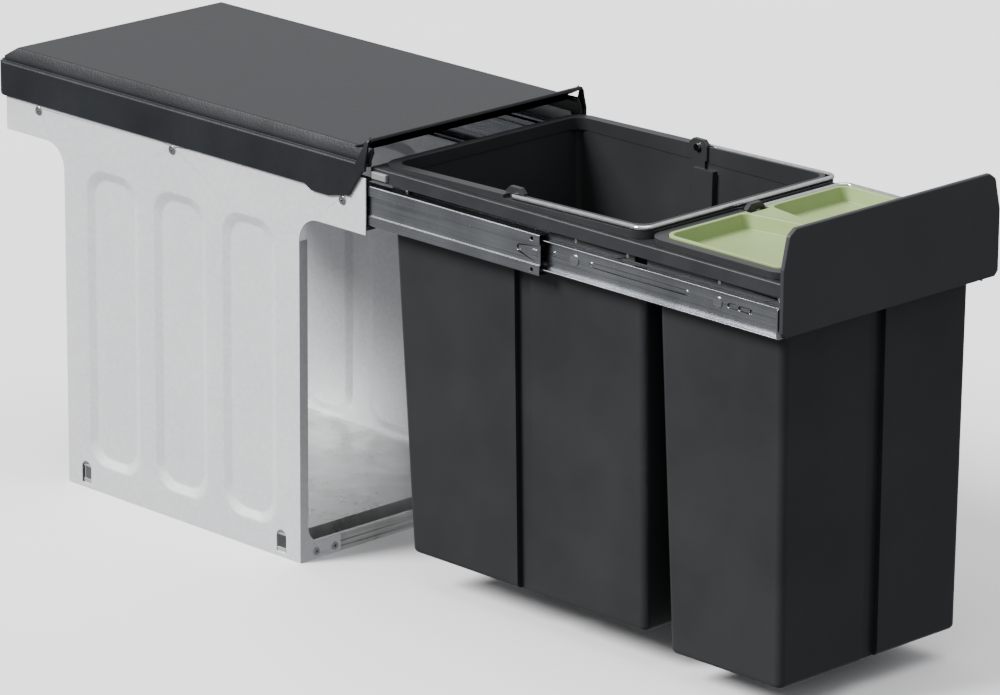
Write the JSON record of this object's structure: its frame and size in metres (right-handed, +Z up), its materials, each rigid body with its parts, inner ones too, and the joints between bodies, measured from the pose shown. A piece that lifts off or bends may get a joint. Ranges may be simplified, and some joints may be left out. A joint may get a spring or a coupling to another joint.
{
  "type": "pull-out waste separator",
  "caption": "Under-cabinet pull-out waste unit: steel housing, plastic cover, ball slides, lift-out bins with wire handles, a scrap tray and a front panel, shown pulled out.",
  "frame": {"origin": "centre of the four floor screws, on the cabinet floor", "axes": "+Z up, the drawer opens towards -Y, +X to the right for someone in front of it"},
  "size_m": [0.2552, 0.9206, 0.403],
  "materials": {
    "galvanised_sheet": "satin zinc coat",
    "cover_plastic": "fine grain",
    "slide_steel": "bright zinc plate",
    "cage_steel": "satin",
    "ball_steel": "polished",
    "rivet_steel": "satin",
    "frame_paint": "semi-matt powder coat",
    "slider_plastic": "satin",
    "buffer_rubber": "matt",
    "panel_plastic": "fine grain",
    "bin_plastic": "satin",
    "handle_chrome": "polished",
    "tray_plastic": "satin"
  },
  "bodies": {
    "housing": {"side_plate_left": "galvanised_sheet", "side_plate_right": "galvanised_sheet", "floor_pan": "galvanised_sheet", "rear_brace": "galvanised_sheet", "top_cover": "cover_plastic", "cabinet_rail_left": "slide_steel", "cabinet_rail_right": "slide_steel", "plate_rivets": "rivet_steel", "pan_rivets": "rivet_steel", "rail_buffer_left": "buffer_rubber", "rail_buffer_right": "buffer_rubber"},
    "middle_rail_left": {"mid_rail_left": "slide_steel"},
    "middle_rail_right": {"mid_rail_right": "slide_steel"},
    "outer_cage_left": {"outer_ball_cage_left": "cage_steel", "outer_balls_left": "ball_steel"},
    "outer_cage_right": {"outer_ball_cage_right": "cage_steel", "outer_balls_right": "ball_steel"},
    "inner_cage_left": {"inner_ball_cage_left": "cage_steel", "inner_balls_left": "ball_steel"},
    "inner_cage_right": {"inner_ball_cage_right": "cage_steel", "inner_balls_right": "ball_steel"},
    "drawer": {"inner_rail_left": "slide_steel", "inner_rail_right": "slide_steel", "frame_side_left": "frame_paint", "frame_side_right": "frame_paint", "frame_rear_bar": "frame_paint", "frame_middle_bar": "frame_paint", "frame_front_bar": "frame_paint", "frame_pins": "frame_paint", "rail_rivets": "rivet_steel", "hanger_pins": "rivet_steel", "frame_slider_left": "slider_plastic", "frame_slider_right": "slider_plastic", "front_panel": "panel_plastic", "panel_screws": "rivet_steel"},
    "large_bin": {"large_bin": "bin_plastic"},
    "large_handle": {"large_bin_handle": "handle_chrome"},
    "small_bin": {"small_bin": "bin_plastic"},
    "small_handle": {"small_bin_handle": "handle_chrome"},
    "tray": {"compost_tray": "tray_plastic"}
  },
  "joints": [
    {"name": "drawer_slide", "type": "slide", "parent": "housing", "child": "drawer", "axis": [0, -1, 0], "range_m": [-0.45, 0]},
    {"name": "large_bin_lift", "type": "slide", "parent": "drawer", "child": "large_bin", "axis": [0, 0, 1], "range_m": [0, 0.4]},
    {"name": "small_bin_lift", "type": "slide", "parent": "drawer", "child": "small_bin", "axis": [0, 0, 1], "range_m": [0, 0.4]},
    {"name": "tray_lift", "type": "slide", "parent": "small_bin", "child": "tray", "axis": [0, 0, 1], "range_m": [0, 0.08]},
    {"name": "large_handle_swing", "type": "hinge", "parent": "large_bin", "child": "large_handle", "pos_m": [0, -0.38103, 0.3644], "axis": [-1, 0, 0], "range_deg": [0, 145]},
    {"name": "small_handle_swing", "type": "hinge", "parent": "small_bin", "child": "small_handle", "pos_m": [0, -0.605, 0.3634], "axis": [0, -1, 0], "range_deg": [0, 145]},
    {"name": "middle_slide_left", "type": "slide", "parent": "housing", "child": "middle_rail_left", "axis": [0, -1, 0], "range_m": [-0.225, 0]},
    {"name": "outer_cage_slide_left", "type": "slide", "parent": "housing", "child": "outer_cage_left", "axis": [0, -1, 0], "range_m": [-0.1125, 0]},
    {"name": "inner_cage_slide_left", "type": "slide", "parent": "housing", "child": "inner_cage_left", "axis": [0, -1, 0], "range_m": [-0.3375, 0]},
    {"name": "middle_slide_right", "type": "slide", "parent": "housing", "child": "middle_rail_right", "axis": [0, -1, 0], "range_m": [-0.225, 0]},
    {"name": "outer_cage_slide_right", "type": "slide", "parent": "housing", "child": "outer_cage_right", "axis": [0, -1, 0], "range_m": [-0.1125, 0]},
    {"name": "inner_cage_slide_right", "type": "slide", "parent": "housing", "child": "inner_cage_right", "axis": [0, -1, 0], "range_m": [-0.3375, 0]}
  ],
  "couplings": [
    {"joint": "middle_slide_left", "follows": "drawer_slide", "ratio": 0.5},
    {"joint": "outer_cage_slide_left", "follows": "drawer_slide", "ratio": 0.25},
    {"joint": "inner_cage_slide_left", "follows": "drawer_slide", "ratio": 0.75},
    {"joint": "middle_slide_right", "follows": "drawer_slide", "ratio": 0.5},
    {"joint": "outer_cage_slide_right", "follows": "drawer_slide", "ratio": 0.25},
    {"joint": "inner_cage_slide_right", "follows": "drawer_slide", "ratio": 0.75}
  ]
}
